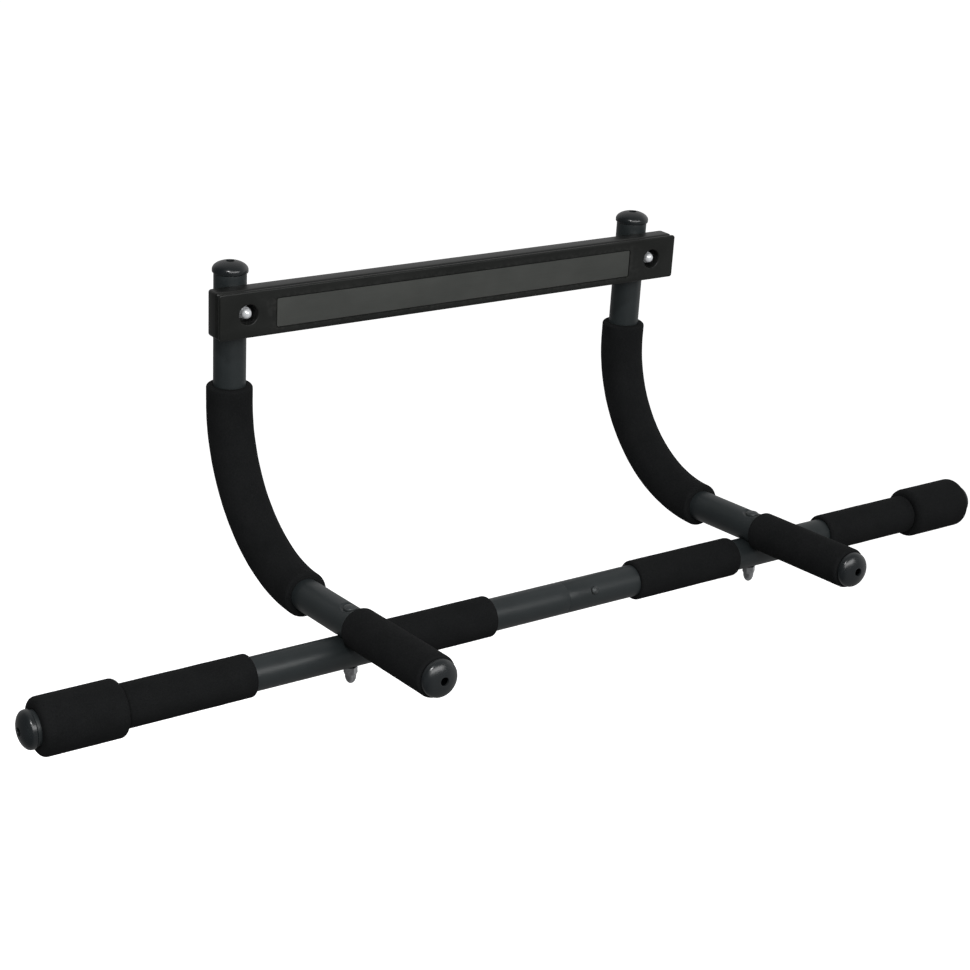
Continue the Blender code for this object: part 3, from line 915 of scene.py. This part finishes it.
def dome_nut(node, position, axis, finish=None):
    """A hexagon with turned-off corners, and a dome on it."""
    half_flats, hex_height = 5 * MM, 6 * MM
    hole_depth, mouth = 9.2 * MM, 0.3 * MM
    top = max((vertex.co - position).dot(axis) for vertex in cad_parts[node].data.vertices)
    dome_r = half_flats * 0.95
    shoulder = hex_height + 1.2 * MM
    profile = [(hole_depth, 0), (hole_depth, BOLT_HOLE_R), (mouth, BOLT_HOLE_R), (0, BOLT_HOLE_R + mouth)]
    rings = (0.0, 0.4, 1.5, 3.0, 4.6, 5.2, 5.6, 6.0)  # millimetres up the hexagon
    neck = ((0.0, 0.1), (0.25, 0.25), (0.6, 0.2))  # millimetres above it, and in from the dome's side
    profile += [(height * MM, half_flats) for height in rings]
    profile += [(hex_height + height * MM, dome_r - inset * MM) for height, inset in neck]
    profile += dome(shoulder, top, dome_r)
    radius_at = hexagon(half_flats, hex_height)
    bm = turned(straight(position, axis, X_AXIS), profile, 72, False, radius_at=radius_at)
    piece(node + "_dome", bm, node, "bright_plate", sharp=math.radians(25), finish=finish)


def domed_bolt(node, base, axis):
    """A bolt with a smooth round head. Its length and its head are the node's own."""
    rim, tip_edge, longest = 0.8 * MM, 0.5 * MM, 5 * MM
    points = [vertex.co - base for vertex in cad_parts[node].data.vertices]
    heights = [(point.dot(axis), point.cross(axis).length) for point in points]
    tip, top = min(heights)[0], max(heights)[0]
    beyond_shank = BOLT_R * 1.2
    seat = min(height for height, away in heights if away > beyond_shank)
    head_r = max(away for _, away in heights)
    profile = fillet([(tip, 0), (tip, BOLT_R), (seat, BOLT_R), (seat, head_r)], [0, tip_edge, 0, 0], 4)
    profile += dome(seat + rim, top, head_r)
    bm = turned(straight(base, axis, X_AXIS), spaced(profile, longest, False), 48, False)
    piece(node + "_round_head", bm, node, "black_bolt")


def washer_ring(node, base, axis, depth):
    """A washer with softened outer edges."""
    outer, edge = size(node).x / 2, 0.2 * MM
    corners = [(0.0, BOLT_HOLE_R), (0.0, outer), (depth, outer), (depth, BOLT_HOLE_R)]
    bm = turned(straight(base, axis, X_AXIS), fillet(corners, [0, edge, edge, 0], 3), 48)
    piece(node + "_ring", bm, node, "bright_plate")


def fasteners():
    """Each arm's bolt and nut through the long bar, and its bolt, washer and nut in the cross bar."""
    # Painted shade: a darker copy of the plated finish, for the nuts under the long bar.
    shaded_plate = bare_metal(
        "plate_shaded_copy",
        colour=(0.50, 0.51, 0.52),
        dull=(0.34, 0.34, 0.35),
        roughness=(0.14, 0.26),
        metallic=0.9,
    )
    washer_depth = 1.0 * MM
    washer_y = CROSS_FRONT_Y + COUNTERBORE_DEPTH - GAP
    nut_y = washer_y - washer_depth - GAP
    for word, side in SIDES:
        bar = on_bar(side * ARM_X)
        dome_nut(f"arm_nut_{word}", bar - LEG_UP * (TUBE_R + GAP), -LEG_UP, shaded_plate)
        domed_bolt(f"arm_bolt_{word}", bar, LEG_UP)

        centre = Vector((side * ARM_X, 0, CROSS_BOLT_Z))
        dome_nut(f"cross_nut_{word}", centre + Y_AXIS * nut_y, -Y_AXIS)
        domed_bolt(f"cross_bolt_{word}", centre, Y_AXIS)
        washer_ring(f"cross_washer_{word}", centre + Y_AXIS * washer_y, -Y_AXIS, washer_depth)


def spring_line(near, far):
    """The middle of the spring's strip: back along one leg, round the turn and forward along the other."""
    tip, turn_x, far_tip, turn_r = 7.5 * MM, -12.0 * MM, 6.0 * MM, 3.0 * MM
    steps = 16
    line = [(tip + (turn_x - tip) * step / steps, near) for step in range(steps)]
    for step in range(steps):
        angle = math.pi * step / steps
        line.append((turn_x - turn_r * math.sin(angle), near - turn_r + turn_r * math.cos(angle)))
    start, end = Vector((turn_x, near - 2 * turn_r)), Vector((far_tip, far))
    return [Vector(point) for point in line] + [start.lerp(end, step / steps) for step in range(steps + 1)]


def strip_outline():
    """The strip's section with rounded edges, as (across, thick) points."""
    half_wide, half_thick, edge = 3.5 * MM, 0.4 * MM, 0.12 * MM
    steps = 3
    outline = []
    for turn, (across, out) in enumerate(((1, 1), (-1, 1), (-1, -1), (1, -1))):
        for step in range(steps + 1):
            angle = QUARTER_TURN * (turn + step / steps)
            wide = across * (half_wide - edge) + edge * math.cos(angle)
            outline.append((wide, out * (half_thick - edge) + edge * math.sin(angle)))
    return outline


def spring():
    """A V of strip inside the spigot, its near leg under the button and its far leg across from it."""
    near, far = 7.0 * MM, -9.2 * MM
    centre = on_bar(BUTTON_X)
    across_axis = BUTTON_OUT.cross(X_AXIS)
    line, outline = spring_line(near, far), strip_outline()
    bm = bmesh.new()
    rows = []
    for index, here in enumerate(line):
        heading = (line[min(index + 1, len(line) - 1)] - line[max(index - 1, 0)]).normalized()
        place = centre + X_AXIS * here.x + BUTTON_OUT * here.y
        normal = BUTTON_OUT * heading.x - X_AXIS * heading.y
        rows.append([bm.verts.new(place + across_axis * wide + normal * thick) for wide, thick in outline])
    bm = skin(bm, rows)
    made = piece("button_spring_strip", bm, "button_spring", "spring_steel", body=None)
    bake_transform(made)


# The studio.


def camera():
    """From the left and a little above. The small shift settles where in the frame the object is."""
    place = (-0.97714, -1.42089, 0.51741)
    yaw, pitch, roll = (math.radians(angle) for angle in (35.356, 22.676, 3.235))
    level = Vector((math.sin(yaw), math.cos(yaw), 0))
    forward = level * math.cos(pitch) - Z_AXIS * math.sin(pitch)
    level_right = Vector((math.cos(yaw), -math.sin(yaw), 0))
    level_up = level_right.cross(forward)
    right = level_right * math.cos(roll) + level_up * math.sin(roll)
    up = level_up * math.cos(roll) - level_right * math.sin(roll)
    data = bpy.data.cameras.new("camera")
    data.lens = 74.70
    data.sensor_width = 36
    data.shift_x, data.shift_y = 0.0146, 0.0313
    made = bpy.data.objects.new("camera", data)
    axes = Matrix((right, up, -forward)).transposed().to_4x4()
    made.matrix_world = Matrix.Translation(place) @ axes
    bpy.context.scene.collection.objects.link(made)
    bpy.context.scene.camera = made


def light(name, azimuth, elevation, width, height, power, mirrored=True):
    """A soft box that looks at the object's middle. Azimuth 0 is in front, and 90 is on the right.

    One that isn't mirrored is a fill: it leaves no highlight.
    """
    distance = 2.2
    azimuth, elevation = math.radians(azimuth), math.radians(elevation)
    level = Vector((math.sin(azimuth), -math.cos(azimuth), 0))
    away = level * math.cos(elevation) + Z_AXIS * math.sin(elevation)
    place = (CAD_BOUNDS[0] + CAD_BOUNDS[1]) / 2 + away * distance
    data = bpy.data.lights.new(name, "AREA")
    data.shape = "RECTANGLE"
    data.size, data.size_y = width, height
    data.energy = power
    made = bpy.data.objects.new(name, data)
    made.matrix_world = Matrix.Translation(place) @ away.to_track_quat("Z", "Y").to_matrix().to_4x4()
    made.visible_camera = False
    made.visible_glossy = mirrored
    bpy.context.scene.collection.objects.link(made)


class WorldNodes:
    """The world's node tree, with short ways to shape its strength by direction."""

    def __init__(self, world):
        world.use_nodes = True
        self.tree = world.node_tree
        self.direction = self.tree.nodes.new("ShaderNodeTexCoord").outputs["Generated"]

    def along(self, direction, low, high, start, end):
        """Goes smoothly from start to end as a ray's share of direction goes from low to high."""
        dot = self.tree.nodes.new("ShaderNodeVectorMath")
        dot.operation = "DOT_PRODUCT"
        dot.inputs[1].default_value = direction
        self.tree.links.new(self.direction, dot.inputs[0])
        scale = self.tree.nodes.new("ShaderNodeMapRange")
        scale.interpolation_type = "SMOOTHSTEP"
        for name, value in (("From Min", low), ("From Max", high), ("To Min", start), ("To Max", end)):
            scale.inputs[name].default_value = value
        self.tree.links.new(dot.outputs["Value"], scale.inputs["Value"])
        return scale.outputs["Result"]

    def product(self, first, second):
        node = self.tree.nodes.new("ShaderNodeMath")
        node.operation = "MULTIPLY"
        self.tree.links.new(first, node.inputs[0])
        self.tree.links.new(second, node.inputs[1])
        return node.outputs["Value"]


def studio_world():
    """White to the camera. The object is lit from behind and the right, and less from the left and below."""
    world = bpy.data.worlds.new("studio")
    nodes = WorldNodes(world)
    tree = nodes.tree
    seen = tree.nodes["Background"]
    seen.inputs["Color"].default_value = (1, 1, 1, 1)
    lit = tree.nodes.new("ShaderNodeBackground")
    below = 0.32
    above = nodes.along((0.58, 0.82, 0), -0.3, 0.7, 0.27, 0.54)
    level = tree.nodes.new("ShaderNodeMix")
    level.data_type = "FLOAT"
    level.inputs["A"].default_value = below
    tree.links.new(above, level.inputs["B"])
    tree.links.new(nodes.along((0, 0, 1), -0.25, 0.2, 0.0, 1.0), level.inputs["Factor"])
    left_dimmed = nodes.along((-1, 0, 0), 0.0, 0.7, 1.0, 0.3)
    right_raised = nodes.along((1, 0, 0), 0.62, 0.95, 1.0, 1.7)
    strength = nodes.product(nodes.product(level.outputs["Result"], left_dimmed), right_raised)
    tree.links.new(strength, lit.inputs["Strength"])
    mixer = tree.nodes.new("ShaderNodeMixShader")
    rays = tree.nodes.new("ShaderNodeLightPath")
    tree.links.new(rays.outputs["Is Camera Ray"], mixer.inputs["Fac"])
    tree.links.new(lit.outputs["Background"], mixer.inputs[1])
    tree.links.new(seen.outputs["Background"], mixer.inputs[2])
    tree.links.new(mixer.outputs["Shader"], tree.nodes["World Output"].inputs["Surface"])
    return world


def floor_paper():
    """White paper, lit evenly."""
    nodes = Nodes("floor_paper")
    grain = nodes.noise(60, 4.0)
    nodes.set(Specular_IOR_Level=0.1, Emission_Color=(1, 1, 1, 1), Emission_Strength=0.8)
    colour = nodes.mix(grain, (0.90, 0.90, 0.90), (0.94, 0.94, 0.94))
    return nodes.done(colour, nodes.between(grain, 0.3, 0.7, 0.85, 0.95))


def floor():
    """A wide sheet far below the bar, which hangs. It neither shades nor mirrors the object."""
    reach, drop = 14.0, 1.1
    low = CAD_BOUNDS[0].z - drop
    bm = bmesh.new()
    corners = ((-reach, -reach, low), (reach, -reach, low), (reach, reach, low), (-reach, reach, low))
    bm.faces.new([bm.verts.new(corner) for corner in corners])
    mesh = bpy.data.meshes.new("floor")
    bm.to_mesh(mesh)
    bm.free()
    mesh.materials.append(floor_paper())
    made = bpy.data.objects.new("floor", mesh)
    made.visible_diffuse = False
    made.visible_glossy = False
    bpy.context.scene.collection.objects.link(made)


def studio():
    scene = bpy.context.scene
    scene.view_settings.view_transform = "Standard"
    scene.world = studio_world()
    light("front_box", -5, 30, 2.6, 0.9, 34)
    light("key_box", -50, 46, 0.16, 0.16, 14)
    light("right_fill", 80, 10, 1.4, 1.4, 10, mirrored=False)
    light("left_fill", -75, 0, 1.4, 1.4, 10, mirrored=False)
    light("rear_fill", 180, 20, 2.4, 1.2, 22, mirrored=False)
    floor()


camera()
bar_tubes()
snap_button()
bar_foams()
arms()
arm_foams()
plugs()
cross_bar()
fasteners()
spring()
studio()
